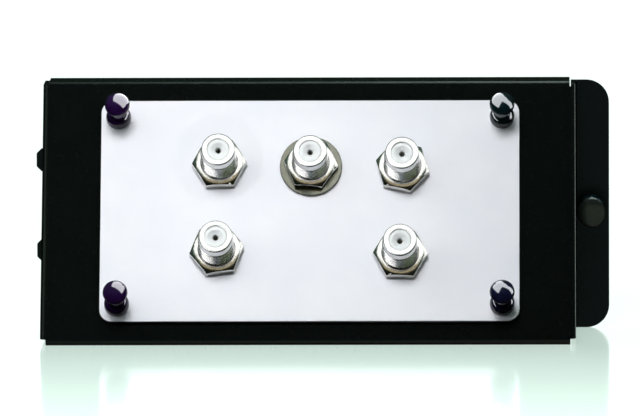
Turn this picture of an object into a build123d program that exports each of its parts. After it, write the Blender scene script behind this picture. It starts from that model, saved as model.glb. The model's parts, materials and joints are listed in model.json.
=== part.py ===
from build123d import *
from collections import namedtuple
from math import cos, radians, sin, tan
import os

# Coaxial splitter module: a folded bracket with a sloped front, five F-type ports and push-in fasteners.
# Millimetres. +X is to the right, +Y is away from the viewer and +Z is up.
# The origin is on the surface that the bracket stands on, in the middle of its foot.

# Bracket
COVER_WIDTH = 142.2
COVER_HEIGHT = 67.5
FRONT_TILT = 25.0
FOOT_DEPTH = 42.1
SHEET = 1.2
BEND_RADIUS = 1.4
SEAM_ACROSS = 1.5
FOOT_SEAM = 1.7
TOP_SEAM = 0.7

# Ear, bent out from the right wall
EAR_REACH = 9.05
EAR_CORNER_RADIUS = 6.1
EAR_BEND_INSIDE = 0.5
EAR_ROOT_DEPTH = 5.0
EAR_HOLE_X = 75.4
EAR_HOLE_Z = 32.2

# Hook tabs on the left wall's back edge
TAB_REACH = 2.6
TAB_ROOT = 6.1
TAB_BEVEL = 1.3
TAB_PITCH = 24.4
TAB_MID_Z = 33.0
PANEL_GAP = 1.8

# Label plate. Places on the front are measured across from the middle and up the slope.
LABEL_WIDTH = 111.6
LABEL_LENGTH = 62.2
LABEL_THICKNESS = 1.5
LABEL_CORNER = 3.4
LABEL_EDGE = 0.2
MIDDLE_ACROSS = 0.4
MIDDLE_UP = 37.5

# F-type ports, with a 3/8-32 outside thread. Within the nut, the shank has the thread's mean radius.
# Seen from the front, the ports and their case sit turned clockwise by a small angle.
PORT_TURN = -1.2
PORT_PITCH = 24.4
THREAD_RADIUS = 4.7625
SHANK_RADIUS = 4.50
PORT_TOP = 14.6
THREAD_TOP = 11.4
THREAD_START = 0.3
NOSE_ROOT_RADIUS = 4.60
NOSE_TIP_RADIUS = 4.50
NOSE_EDGE = 0.23
PORT_HOLE_RADIUS = 4.80
FLANGE_RADIUS = 6.2
FLANGE_THICKNESS = 1.6
PORT_TAIL_RADIUS = 4.0

# Insulators and contacts
INSULATOR_RADIUS = 2.95
INSULATOR_RECESS = 0.25
INSULATOR_NECK_RADIUS = 1.8
PIN_HOLE_RADIUS = 0.75
FUNNEL_RADIUS = 2.0
FUNNEL_DEPTH = 0.9
CONTACT_RADIUS = 1.1
CONTACT_BORE_RADIUS = 0.6
CONTACT_GRIP = 8.0
CONTACT_SLOT = 0.3
CONTACT_TAIL_RADIUS = 0.35
CONTACT_TAIL_PROUD = 0.8
SLIP = 0.02

# Hexagon nuts, half an inch across the flats
NUT_FLATS = 12.7
NUT_THICKNESS = 3.0
NUT_FACE_RADIUS = 6.2
NUT_CROWN_RADIUS = 5.0
NUT_CROWN = 0.15
NUT_SINK = 0.3

# Flat washer under the input port's nut
WASHER_RADIUS = 8.3
WASHER_THICKNESS = 0.8
WASHER_EDGE = 0.15

# Splitter case and its cover
CASE_WIDTH = 66.0
CASE_LENGTH = 42.4
CASE_DEPTH = 12.0
CASE_SHEET = 0.6
CASE_CORNER = 2.4
CASE_EDGE = 0.8
COVER_RIM = 2.5
COVER_FIT = 0.05

# Circuit board and the parts on its back
BOARD_FRONT = -6.8
BOARD_THICKNESS = 1.6
BOARD_MARGIN = 0.5
BOARD_CORNER = 1.0
TWIN_CORE_WIDTH = 4.4
TWIN_CORE_LENGTH = 2.6
TWIN_CORE_HEIGHT = 2.8
TWIN_HOLE_RADIUS = 0.5
RING_CORE_RADIUS = 2.0
RING_HOLE_RADIUS = 0.9
RING_CORE_HEIGHT = 1.6
WIRE = 0.35
CHIP_WIDTH = 2.0
CHIP_LENGTH = 1.25
RESISTOR_HEIGHT = 0.5
CAPACITOR_HEIGHT = 0.9
CAPACITOR_SIDE = 3.0

# Push-in fasteners. The gate is the small flat that moulding leaves on top of each head.
FASTENER_PITCH_ACROSS = 102.3
FASTENER_PITCH_UP = 52.6
RUN_CLEARANCE = 0.05
MOUTH_EDGE = 0.15
COLLAR_RIM = 0.4
BARB = 0.25
LEG_TIP = 0.3
LEG_SLOT = 0.6
NECK_FLARE = 0.25
PIN_TAPER = 0.5
GATE = 0.15

# Places that follow from the sizes above
TILT = radians(FRONT_TILT)
BACK_Y = (FOOT_DEPTH + SHEET) / 2
FRONT_Y = -BACK_Y
WALL_OUT = COVER_WIDTH / 2
BOARD_BACK = BOARD_FRONT - BOARD_THICKNESS
FLANGE_TOP = -SHEET - CASE_SHEET
FLANGE_LOW = FLANGE_TOP - FLANGE_THICKNESS
PORT_LOW = BOARD_FRONT + 0.2
INSULATOR_TOP = PORT_TOP - INSULATOR_RECESS
CONTACT_TOP = INSULATOR_TOP - 2 * FUNNEL_DEPTH
CONTACT_LOW = FLANGE_LOW + 1.0

# The sloped front: its own X is across, Y is up the slope, and Z is height towards the viewer
front = Plane(origin=(0, FRONT_Y, 0), x_dir=(1, 0, 0), z_dir=(0, -cos(TILT), sin(TILT))).location

# The middle of the ports on the front, turned as the ports are
port_middle = front * Pos(MIDDLE_ACROSS, MIDDLE_UP) * Rot(0, 0, PORT_TURN)

# The ear's front face, in the same way, at the middle of its hole
ear_face = Location((EAR_HOLE_X, BACK_Y - SHEET, EAR_HOLE_Z), (90, 0, 0))

# Each port: its place from the middle of the ports, the height of its nut's seat, and the turn of its nut
Port = namedtuple("Port", "name across up seat turn")
PORTS = [
    Port("input", 0, PORT_PITCH / 2, LABEL_THICKNESS + WASHER_THICKNESS, -4),
    Port("output_1", -PORT_PITCH, PORT_PITCH / 2, LABEL_THICKNESS, 3),
    Port("output_2", PORT_PITCH, PORT_PITCH / 2, LABEL_THICKNESS, -12),
    Port("output_3", -PORT_PITCH, -PORT_PITCH / 2, LABEL_THICKNESS, 10),
    Port("output_4", PORT_PITCH, -PORT_PITCH / 2, LABEL_THICKNESS, 0),
]

# Upper left, upper right, lower left and lower right
CORNERS = [
    (MIDDLE_ACROSS + side * FASTENER_PITCH_ACROSS / 2, MIDDLE_UP + level * FASTENER_PITCH_UP / 2)
    for level in (1, -1)
    for side in (-1, 1)
]

# A push-in fastener, with its heights above the panel's front face. The grommet's collar sits on the seat.
Fastener = namedtuple(
    "Fastener",
    "body seat collar collar_top leg_low neck neck_low pin pin_low head head_mid head_under head_dome",
)
CORNER_FASTENER = Fastener(
    body=2.6, seat=LABEL_THICKNESS, collar=3.35, collar_top=4.3, leg_low=-5.0,
    neck=2.0, neck_low=0.8, pin=1.2, pin_low=-5.4, head=3.3, head_mid=11.6, head_under=1.2, head_dome=2.1,
)
EAR_FASTENER = Fastener(
    body=2.9, seat=0.0, collar=3.75, collar_top=2.9, leg_low=-5.6,
    neck=2.2, neck_low=-0.6, pin=1.3, pin_low=-6.0, head=3.9, head_mid=13.2, head_under=1.4, head_dome=1.0,
)


def turned(curves):
    """A solid turned about Z, from curves drawn as radius and height that close round an area."""
    edges = [edge for curve in curves for edge in (Plane.XZ * curve).edges()]
    return revolve(make_face(edges), Axis.Z)


def turned_points(*points):
    """A solid turned about Z, from corner points of radius and height."""
    return turned([Polyline(*points, close=True)])


def rod(radius, low, high):
    """A round rod about Z."""
    return Pos(0, 0, low) * Cylinder(radius, high - low, align=(Align.CENTER, Align.CENTER, Align.MIN))


def block(width, length, low, high):
    """A square block about Z."""
    return Pos(0, 0, low) * Box(width, length, high - low, align=(Align.CENTER, Align.CENTER, Align.MIN))


def plate(width, length, corner, low, high):
    """A plate about Z, with rounded corners."""
    return Pos(0, 0, low) * extrude(RectangleRounded(width, length, corner), high - low)


def wedge(inset, back):
    """The bracket's outside form, or with an inset the space in it, open to the given back."""
    lowest = FRONT_Y + inset / cos(TILT) + inset * tan(TILT)
    high = COVER_HEIGHT - inset
    highest = FRONT_Y + inset / cos(TILT) + high * tan(TILT)
    side = Polyline((lowest, inset), (back, inset), (back, high), (highest, high), close=True)
    width = COVER_WIDTH - 2 * inset
    return Pos(-width / 2, 0, 0) * extrude(Plane.YZ * make_face(side), width)


def bent(solid, radius):
    """Rounds the four edges of a wedge's sloped face."""
    face = solid.faces().sort_by(Axis((0, 0, 0), (0, -cos(TILT), sin(TILT))))[-1]
    return fillet(face.edges(), radius)


def bracket():
    """The folded sheet: sloped front, four walls, ear and hook tabs."""
    body = bent(wedge(0, BACK_Y), BEND_RADIUS) - bent(wedge(SHEET, BACK_Y + SHEET), BEND_RADIUS - SHEET)

    # Open seams: the foot and the top end beside the side walls, and the side walls end short of them
    seam_inside = (SHEET + SEAM_ACROSS) / 2
    foot_seam = Box(2 * SEAM_ACROSS, 2 * FOOT_DEPTH, 2 * FOOT_SEAM)
    top_seam = Box(2 * SEAM_ACROSS, 2 * FOOT_DEPTH, 2 * TOP_SEAM)
    top_slit = Box(SEAM_ACROSS - SHEET, 2 * FOOT_DEPTH, 2 * SEAM_ACROSS)
    for side in (-1, 1):
        body -= Pos(side * WALL_OUT, 0, 0) * foot_seam
        body -= Pos(side * WALL_OUT, 0, COVER_HEIGHT) * top_seam
        body -= Pos(side * (WALL_OUT - seam_inside), 0, COVER_HEIGHT) * top_slit

    for item in PORTS:
        body -= port_middle * Pos(item.across, item.up) * rod(PORT_HOLE_RADIUS, -3 * SHEET, SHEET)
    for across, up in CORNERS:
        body -= front * Pos(across, up) * rod(CORNER_FASTENER.body + SLIP, -3 * SHEET, SHEET)
    return body + ear() + hook_tab(-1) + hook_tab(1)


def ear():
    """The ear: one bend from the right wall, rounded corners and a hole for its fastener."""
    wall_in = WALL_OUT - SHEET
    tip = WALL_OUT + EAR_REACH
    face = BACK_Y - SHEET
    root = BACK_Y - EAR_ROOT_DEPTH
    inner = EAR_BEND_INSIDE
    outer = EAR_BEND_INSIDE + SHEET
    section = FilletPolyline(
        (wall_in, root), (wall_in, BACK_Y), (tip, BACK_Y), (tip, face), (WALL_OUT, face), (WALL_OUT, root),
        radius=[0, outer, 0, 0, inner, 0], close=True,
    )
    blank = extrude(make_face(section), COVER_HEIGHT - TOP_SEAM)
    ends = blank.edges().filter_by(Axis.Y).group_by(Axis.X)[-1]
    blank = fillet(ends, EAR_CORNER_RADIUS)
    return blank - ear_face * rod(EAR_FASTENER.body + SLIP, -2 * SHEET, SHEET)


def hook_tab(level):
    """A hook behind the left wall: it goes through the panel and turns outwards, with chamfered ends."""
    mid = TAB_MID_Z + level * TAB_PITCH / 2
    half = TAB_ROOT / 2
    tip = -WALL_OUT - TAB_REACH
    low = BACK_Y - 2 * SHEET
    high = BACK_Y + PANEL_GAP + SHEET
    corner = (Align.MIN, Align.MIN, Align.CENTER)
    stem = Pos(-WALL_OUT, low, mid) * Box(SHEET, high - low, TAB_ROOT, align=corner)
    outline = Polyline(
        (-WALL_OUT, mid - half),
        (-WALL_OUT, mid + half),
        (tip + TAB_BEVEL, mid + half),
        (tip, mid + half - TAB_BEVEL),
        (tip, mid - half + TAB_BEVEL),
        (tip + TAB_BEVEL, mid - half),
        close=True,
    )
    return stem + Pos(0, high, 0) * extrude(Plane.XZ * make_face(outline), SHEET)


def label_plate():
    """The plate on the front, with round corners."""
    body = plate(LABEL_WIDTH, LABEL_LENGTH, LABEL_CORNER, 0, LABEL_THICKNESS)
    body = chamfer(body.faces().sort_by(Axis.Z)[-1].edges(), LABEL_EDGE)
    body = front * Pos(MIDDLE_ACROSS, MIDDLE_UP) * body
    for item in PORTS:
        body -= port_middle * Pos(item.across, item.up) * rod(PORT_HOLE_RADIUS, -1, 2 * LABEL_THICKNESS)
    for across, up in CORNERS:
        body -= front * Pos(across, up) * rod(CORNER_FASTENER.body + SLIP, -1, 2 * LABEL_THICKNESS)
    return body


def port_body(item):
    """The turned metal body of a port. Its shank passes the sheet and its nut, and then the thread is free."""
    thread_low = item.seat + NUT_THICKNESS + THREAD_START
    outside = turned_points(
        (0, PORT_LOW),
        (PORT_TAIL_RADIUS, PORT_LOW),
        (PORT_TAIL_RADIUS, FLANGE_LOW),
        (FLANGE_RADIUS, FLANGE_LOW),
        (FLANGE_RADIUS, FLANGE_TOP),
        (SHANK_RADIUS, FLANGE_TOP),
        (SHANK_RADIUS, thread_low),
        (THREAD_RADIUS, thread_low),
        (THREAD_RADIUS, THREAD_TOP),
        (NOSE_ROOT_RADIUS, THREAD_TOP + NOSE_EDGE),
        (NOSE_TIP_RADIUS, PORT_TOP - NOSE_EDGE),
        (NOSE_TIP_RADIUS - NOSE_EDGE, PORT_TOP),
        (0, PORT_TOP),
    )
    pocket = rod(INSULATOR_RADIUS + SLIP, FLANGE_LOW, PORT_TOP + 1)
    neck = rod(INSULATOR_NECK_RADIUS + SLIP, PORT_LOW - 1, FLANGE_LOW + 1)
    return outside - pocket - neck


def insulator():
    """The white insulator of a port, with a funnel that leads the pin into the contact."""
    shoulder = FLANGE_LOW + SLIP
    return turned_points(
        (CONTACT_TAIL_RADIUS + SLIP, PORT_LOW),
        (INSULATOR_NECK_RADIUS, PORT_LOW),
        (INSULATOR_NECK_RADIUS, shoulder),
        (INSULATOR_RADIUS, shoulder),
        (INSULATOR_RADIUS, INSULATOR_TOP),
        (FUNNEL_RADIUS, INSULATOR_TOP),
        (PIN_HOLE_RADIUS, INSULATOR_TOP - FUNNEL_DEPTH),
        (PIN_HOLE_RADIUS, CONTACT_TOP),
        (CONTACT_RADIUS + SLIP, CONTACT_TOP),
        (CONTACT_RADIUS + SLIP, CONTACT_LOW),
        (CONTACT_TAIL_RADIUS + SLIP, CONTACT_LOW),
    )


def contact():
    """The centre contact of a port: a tube slit in four that grips the pin, and a tail for the board."""
    floor = CONTACT_TOP - CONTACT_GRIP
    low = BOARD_BACK - CONTACT_TAIL_PROUD
    body = turned_points(
        (0, low),
        (CONTACT_TAIL_RADIUS, low),
        (CONTACT_TAIL_RADIUS, CONTACT_LOW + SLIP),
        (CONTACT_RADIUS, CONTACT_LOW + SLIP),
        (CONTACT_RADIUS, CONTACT_TOP - SLIP),
        (CONTACT_BORE_RADIUS, CONTACT_TOP - SLIP),
        (CONTACT_BORE_RADIUS, floor),
        (0, floor),
    )
    slot = block(3 * CONTACT_RADIUS, CONTACT_SLOT, floor + 1, CONTACT_TOP)
    return body - slot - Rot(0, 0, 90) * slot


def nut(turn):
    """A hexagon nut: its corners are turned down to a slightly crowned face, and its bore is countersunk."""
    blank = extrude(RegularPolygon(NUT_FLATS / 2, 6, major_radius=False, rotation=turn), NUT_THICKNESS)
    corner = NUT_FLATS / 2 / cos(radians(30))
    rim = NUT_THICKNESS - NUT_CROWN
    drop = (corner - NUT_FACE_RADIUS) * tan(radians(30))
    bore = SHANK_RADIUS + SLIP
    return blank & turned_points(
        (bore, 0),
        (corner, 0),
        (corner, rim - drop),
        (NUT_FACE_RADIUS, rim),
        (NUT_CROWN_RADIUS, NUT_THICKNESS),
        (bore, NUT_THICKNESS - NUT_SINK),
    )


def input_washer():
    """The flat washer between the plate and the input port's nut."""
    body = rod(WASHER_RADIUS, 0, WASHER_THICKNESS)
    body = chamfer(body.faces().sort_by(Axis.Z)[-1].edges(), WASHER_EDGE)
    return body - rod(PORT_HOLE_RADIUS, -1, WASHER_THICKNESS + 1)


def grommet(kind):
    """The fastener's grommet: a bell-shaped collar, a body through the panel and four sprung legs."""
    bore = kind.neck + RUN_CLEARANCE
    mouth = bore + MOUTH_EDGE
    rim = kind.seat + COLLAR_RIM
    barb = kind.body + BARB
    bell = EllipticalCenterArc((mouth, rim), kind.collar - mouth, kind.collar_top - rim, 0, arc_size=90)
    edge = Polyline(
        (mouth, kind.collar_top),
        (bore, kind.collar_top - MOUTH_EDGE),
        (bore, kind.leg_low),
        (bore + LEG_TIP, kind.leg_low),
        (barb, -SHEET - 3 * BARB),
        (kind.body, -SHEET),
        (kind.body, kind.seat),
        (kind.collar, kind.seat),
        (kind.collar, rim),
    )
    slot = block(3 * kind.body, LEG_SLOT, kind.leg_low - 1, -SHEET - BARB)
    return turned([bell, edge]) - slot - Rot(0, 0, 90) * slot


def plunger(kind):
    """The fastener's plunger, drawn out: a domed head, a neck and the pin that spreads the legs."""
    under = kind.head_mid - kind.head_under
    flare = kind.neck + NECK_FLARE
    dome = EllipticalCenterArc((GATE, kind.head_mid), kind.head - GATE, kind.head_dome, 0, arc_size=90)
    back = EllipticalCenterArc((flare, kind.head_mid), kind.head - flare, kind.head_under, 270, arc_size=90)
    spine = Polyline(
        (GATE, kind.head_mid + kind.head_dome),
        (0, kind.head_mid + kind.head_dome),
        (0, kind.pin_low),
        (kind.pin - PIN_TAPER, kind.pin_low),
        (kind.pin, kind.pin_low + 2 * PIN_TAPER),
        (kind.pin, kind.neck_low - PIN_TAPER),
        (kind.neck, kind.neck_low),
        (kind.neck, under - NECK_FLARE),
        (flare, under),
    )
    return turned([dome, back, spine])


def splitter_case():
    """The drawn case: one wall against the front's sheet, and four sides."""
    low = -SHEET - CASE_DEPTH
    inner_width = CASE_WIDTH - 2 * CASE_SHEET
    inner_length = CASE_LENGTH - 2 * CASE_SHEET
    body = plate(CASE_WIDTH, CASE_LENGTH, CASE_CORNER, low, -SHEET)
    body = fillet(body.faces().sort_by(Axis.Z)[-1].edges(), CASE_EDGE)
    body -= plate(inner_width, inner_length, CASE_CORNER - CASE_SHEET, low - 1, FLANGE_TOP)
    for item in PORTS:
        body -= Pos(item.across, item.up) * rod(PORT_HOLE_RADIUS, -4 * SHEET, 0)
    return port_middle * body


def case_cover():
    """The case's back cover: a flat back, and a rim that goes inside the case."""
    low = -SHEET - CASE_DEPTH
    gap = CASE_SHEET + COVER_FIT
    width = CASE_WIDTH - 2 * gap
    length = CASE_LENGTH - 2 * gap
    corner = CASE_CORNER - gap
    wall = 2 * CASE_SHEET
    body = plate(CASE_WIDTH, CASE_LENGTH, CASE_CORNER, low - CASE_SHEET, low)
    body += plate(width, length, corner, low, low + COVER_RIM)
    body -= plate(width - wall, length - wall, corner - CASE_SHEET, low, low + 2 * COVER_RIM)
    return port_middle * body


def circuit_board():
    """The board behind the ports, with a hole for the tail of each contact."""
    margin = 2 * (CASE_SHEET + BOARD_MARGIN)
    body = plate(CASE_WIDTH - margin, CASE_LENGTH - margin, BOARD_CORNER, BOARD_BACK, BOARD_FRONT)
    for item in PORTS:
        body -= Pos(item.across, item.up) * rod(CONTACT_TAIL_RADIUS + SLIP, BOARD_BACK - 1, BOARD_FRONT + 1)
    return port_middle * body


def twin_core():
    """A two-hole ferrite core, standing on the back of the board."""
    body = plate(TWIN_CORE_WIDTH, TWIN_CORE_LENGTH, TWIN_CORE_LENGTH / 2 - SLIP, -TWIN_CORE_HEIGHT, 0)
    for side in (-1, 1):
        body -= Pos(side * TWIN_CORE_WIDTH / 4, 0) * rod(TWIN_HOLE_RADIUS, -2 * TWIN_CORE_HEIGHT, 1)
    return body


def twin_winding():
    """The wire through both holes of a two-hole core, and across its back."""
    half = TWIN_CORE_WIDTH / 4
    body = Pos(0, 0, -TWIN_CORE_HEIGHT) * block(2 * half + WIRE, WIRE, -WIRE, 0)
    for side in (-1, 1):
        body += Pos(side * half, 0) * rod(WIRE / 2, -TWIN_CORE_HEIGHT - WIRE / 2, 0)
    return body


def ring_core():
    """A ring core, lying on the back of the board."""
    return rod(RING_CORE_RADIUS, -RING_CORE_HEIGHT - WIRE, -WIRE) - rod(RING_HOLE_RADIUS, -4, 1)


def ring_turn(angle):
    """One turn of wire round a ring core."""
    low = -RING_CORE_HEIGHT - WIRE
    depth = RING_CORE_RADIUS - RING_HOLE_RADIUS
    loop = block(depth + 2 * WIRE, WIRE, low - WIRE + SLIP, 0)
    loop -= block(depth + 2 * SLIP, 2 * WIRE, low - SLIP, -WIRE + SLIP)
    return Rot(0, 0, angle) * Pos((RING_CORE_RADIUS + RING_HOLE_RADIUS) / 2, 0) * loop


def on_board(across, up):
    """A place on the back of the board, from the middle of the ports."""
    return port_middle * Pos(across, up, BOARD_BACK)


# The three two-way stages on the board: their places, from the middle
STAGES = [(0.0, -2.0), (-15.0, 0.0), (15.0, 0.0)]
CORE_SPACING = 4.0

parts = {
    "bracket": bracket(),
    "label_plate": label_plate(),
    "splitter_case": splitter_case(),
    "case_cover": case_cover(),
    "circuit_board": circuit_board(),
}

for item in PORTS:
    place = port_middle * Pos(item.across, item.up)
    kind, _, number = item.name.partition("_")
    number = "_" + number if number else ""
    parts[f"{kind}_port{number}"] = place * port_body(item)
    parts[f"{kind}_insulator{number}"] = place * insulator()
    parts[f"{kind}_contact{number}"] = place * contact()
    parts[f"{kind}_nut{number}"] = place * Pos(0, 0, item.seat) * nut(item.turn)

input_port = PORTS[0]
parts["input_washer"] = port_middle * Pos(input_port.across, input_port.up, LABEL_THICKNESS) * input_washer()

for count, (across, up) in enumerate(CORNERS, 1):
    place = front * Pos(across, up)
    parts[f"corner_grommet_{count}"] = place * grommet(CORNER_FASTENER)
    parts[f"corner_plunger_{count}"] = place * plunger(CORNER_FASTENER)

parts["ear_grommet"] = ear_face * grommet(EAR_FASTENER)
parts["ear_plunger"] = ear_face * plunger(EAR_FASTENER)

twin_places = [on_board(across, up + CORE_SPACING) for across, up in STAGES]
ring_places = [on_board(across, up - CORE_SPACING) for across, up in STAGES]
turns = [ring_turn(angle) for angle in range(0, 360, 90)]
parts["matching_cores"] = Compound([place * twin_core() for place in twin_places])
parts["combining_cores"] = Compound([place * ring_core() for place in ring_places])
windings = [place * twin_winding() for place in twin_places]
windings += [place * turn for place in ring_places for turn in turns]
parts["core_windings"] = Compound(windings)

resistor = block(CHIP_WIDTH, CHIP_LENGTH, -RESISTOR_HEIGHT, 0)
capacitor = block(CHIP_LENGTH, CHIP_WIDTH, -CAPACITOR_HEIGHT, 0)
parts["isolation_resistors"] = Compound([on_board(across, up) * resistor for across, up in STAGES])
parts["blocking_capacitors"] = Compound(
    [on_board(item.across + CAPACITOR_SIDE, item.up) * capacitor for item in PORTS]
)

os.makedirs("parts", exist_ok=True)
for name, solid in parts.items():
    export_step(solid, f"parts/{name}.step")
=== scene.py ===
import json
import math

import bmesh
import bpy
from mathutils import Matrix, Quaternion, Vector

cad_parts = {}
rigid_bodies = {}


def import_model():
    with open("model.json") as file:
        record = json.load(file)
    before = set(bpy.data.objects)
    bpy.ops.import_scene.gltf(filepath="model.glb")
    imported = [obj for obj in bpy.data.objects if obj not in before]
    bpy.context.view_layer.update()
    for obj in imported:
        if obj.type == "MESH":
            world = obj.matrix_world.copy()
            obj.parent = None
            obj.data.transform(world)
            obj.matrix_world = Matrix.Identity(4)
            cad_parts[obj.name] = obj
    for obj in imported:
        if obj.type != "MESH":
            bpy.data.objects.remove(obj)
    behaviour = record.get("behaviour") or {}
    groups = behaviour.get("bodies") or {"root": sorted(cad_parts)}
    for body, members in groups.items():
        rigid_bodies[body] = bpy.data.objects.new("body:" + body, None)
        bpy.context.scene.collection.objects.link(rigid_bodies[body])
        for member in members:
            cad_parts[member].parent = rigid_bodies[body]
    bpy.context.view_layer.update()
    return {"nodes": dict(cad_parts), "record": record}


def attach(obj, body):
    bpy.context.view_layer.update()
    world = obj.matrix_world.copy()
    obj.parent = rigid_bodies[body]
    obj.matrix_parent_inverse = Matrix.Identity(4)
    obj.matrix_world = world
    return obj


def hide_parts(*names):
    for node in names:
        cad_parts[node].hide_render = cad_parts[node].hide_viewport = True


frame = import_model()

# Coaxial splitter module: the finish of a folded bracket with F-type ports and push-in fasteners.
# Metres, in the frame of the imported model: +X to the right, +Y away from the viewer, +Z up.
MM = 0.001
TURN = 2 * math.pi

# The sloped front. Its places are measured across from the middle and up the slope.
FRONT_TILT = math.radians(25)
FRONT_EDGE_Y = -21.65 * MM
MIDDLE_ACROSS = 0.4 * MM
MIDDLE_UP = 37.5 * MM
PORT_PITCH = 24.4 * MM
PORT_TURN = math.radians(-1.2)
FASTENER_PITCH_ACROSS = 102.3 * MM
FASTENER_PITCH_UP = 52.6 * MM
PLATE_THICKNESS = 1.5 * MM
PLATE_FACE = 0.12 * MM
WASHER_THICKNESS = 0.8 * MM

# The ear's front face, at the middle of its hole
EAR_HOLE = Vector((75.4, 20.45, 32.2)) * MM

# The turned bodies of the ports. Heights are above the bracket's front face, and the widths of the thread's
# groove are shares of its pitch.
NUT_THICKNESS = 3.0 * MM
SHANK_RADIUS = 4.50 * MM
THREAD_RADIUS = 4.76 * MM
THREAD_PITCH = 25.4 / 32 * MM
THREAD_DEPTH = 0.36 * MM
GROOVE_MOUTH = 0.80
GROOVE_FLOOR = 0.22
THREAD_RUNOUT = 0.5 * MM
THREAD_START = 0.3 * MM
THREAD_TOP = 11.4 * MM
RINGS_PER_PITCH = 20
PORT_TOP = 14.6 * MM
NOSE_ROOT_RADIUS = 4.60 * MM
NOSE_TIP_RADIUS = 4.50 * MM
NOSE_EDGE = 0.23 * MM
FLANGE_RADIUS = 6.2 * MM
FLANGE_TOP = -1.8 * MM
FLANGE_LOW = -3.4 * MM
PORT_TAIL_RADIUS = 4.0 * MM
PORT_LOW = -6.6 * MM

# The insulators
INSULATOR_RADIUS = 2.95 * MM
INSULATOR_TOP = 14.35 * MM
INSULATOR_NECK_RADIUS = 1.8 * MM
FUNNEL_RADIUS = 2.0 * MM
FUNNEL_DEPTH = 0.9 * MM
PIN_HOLE_RADIUS = 0.75 * MM
CONTACT_SPACE_RADIUS = 1.12 * MM
CONTACT_TOP = 12.55 * MM
CONTACT_LOW = -2.4 * MM
CONTACT_TAIL_RADIUS = 0.37 * MM

# How finely turned and rounded shapes are divided, and how much of a short side a rounded corner may take
TURN_SEGMENTS = 96
LEAST_SEGMENTS = 4
CORNER_STEPS = 4
CORNER_SHARE = 0.4
ARC_STEPS = 14
EDGE_STEPS = 3

# The room between nested pieces, and the distance within which two points are one
SLIP = 0.02 * MM
MERGE = 0.002 * MM

# How far the edges of flat pieces are broken, and how far the corners of turned ones are rounded
SHEET_EDGE = 0.12 * MM
PLATE_EDGE = 0.10 * MM
NUT_EDGE = 0.10 * MM
WASHER_EDGE = 0.05 * MM
CASE_EDGE = 0.08 * MM
PORT_CORNER = 0.12 * MM
INSULATOR_CORNER = 0.30 * MM
LEG_CORNER = 0.08 * MM
STEM_CORNER = 0.15 * MM

# Angles between two faces: below the first they are one face, above the second their edge is broken, above the
# third it is shaded sharp, and the fourth takes its place on the thread
FLAT_ANGLE = math.radians(0.2)
BROKEN_ANGLE = math.radians(25)
SHARP_ANGLE = math.radians(38)
THREAD_SHARP_ANGLE = math.radians(50)

# Each port: the word and the number in its nodes' names, its place from the middle of the ports, in pitches,
# and the height of its nut's seat
PORTS = [
    ("input", "", 0, 0.5, PLATE_THICKNESS + WASHER_THICKNESS),
    ("output", "_1", -1, 0.5, PLATE_THICKNESS),
    ("output", "_2", 1, 0.5, PLATE_THICKNESS),
    ("output", "_3", -1, -0.5, PLATE_THICKNESS),
    ("output", "_4", 1, -0.5, PLATE_THICKNESS),
]

# Each corner fastener: its number, the body that its plunger rides on, and its side and level on the front
CORNERS = [
    (1, "plunger_upper_left", -1, 1),
    (2, "plunger_upper_right", 1, 1),
    (3, "plunger_lower_left", -1, -1),
    (4, "plunger_lower_right", 1, -1),
]

# The two kinds of push-in fastener, in millimetres. Heights are above the panel's front face.
CORNER_FASTENER = {
    "body": 2.6, "seat": 1.5, "collar": 3.35, "collar_top": 4.3, "leg_low": -5.0, "neck": 2.0, "neck_low": 0.8,
    "pin": 1.2, "pin_low": -5.4, "head": 3.3, "head_mid": 11.6, "head_under": 1.2, "head_dome": 2.1,
}
EAR_FASTENER = {
    "body": 2.9, "seat": 0.0, "collar": 3.75, "collar_top": 2.9, "leg_low": -5.6, "neck": 2.2, "neck_low": -0.6,
    "pin": 1.3, "pin_low": -6.0, "head": 3.9, "head_mid": 13.2, "head_under": 1.4, "head_dome": 1.0,
}

# What both kinds share, in millimetres too: the sheet that they go through and their small forms
SHEET_THICKNESS = 1.2
RUN_CLEARANCE = 0.05
COLLAR_RIM = 0.4
COLLAR_LIP = 0.15
BARB = 0.25
LEG_TIP = 0.3
LEG_OVERLAP = 0.1
LEG_COUNT = 4
LEG_SLOT_ANGLE = math.radians(12)
NECK_FLARE = 0.25
PIN_TAPER = 0.5

# The camera. The photograph is 640 pixels wide, and a millimetre of the object is 3.75 of them.
IMAGE_WIDTH = 640
PIXELS_PER_MM = 3.75
VIEW_AZIMUTH = math.radians(1.2)
VIEW_ELEVATION = math.radians(6)
VIEW_ROLL = math.radians(-0.24)
VIEW_DISTANCE = 2.8
VIEW_AIM = Vector((2.95, 0.45, 34.47)) * MM
SENSOR_WIDTH = 36.0
VIEW_RANGE = (0.1, 20)

# The surroundings: the dim room in front, from below to above, and the white sweep behind, which fades in between
# two values of the direction's Y. The camera itself sees plain white round the floor.
ROOM_TONES = [
    (0.0, (0.020, 0.016, 0.010)), (0.50, (0.010, 0.010, 0.007)), (0.60, (0.012, 0.020, 0.013)),
    (0.80, (0.070, 0.115, 0.085)),
]
SWEEP_TONE = (0.90, 0.92, 0.95)
SWEEP_FADE = (-0.1, 0.4)
SEEN_WHITE = 1.05

# The softboxes that light the matt surfaces: name, place, width, height, power, colour, and how wide a beam the
# grid in front lets through, in degrees. They point at the label plate's upper left.
SOFTBOXES = [
    ("key_box", (-0.06, -0.50, 0.44), 0.24, 0.22, 0.159, (0.98, 0.98, 1.0), 31),
    ("left_box", (-0.30, -0.32, 0.27), 0.30, 0.30, 0.52, (0.96, 0.98, 1.0), 180),
]
SOFTBOX_AIM = Vector((-25, -10, 56)) * MM

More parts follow.
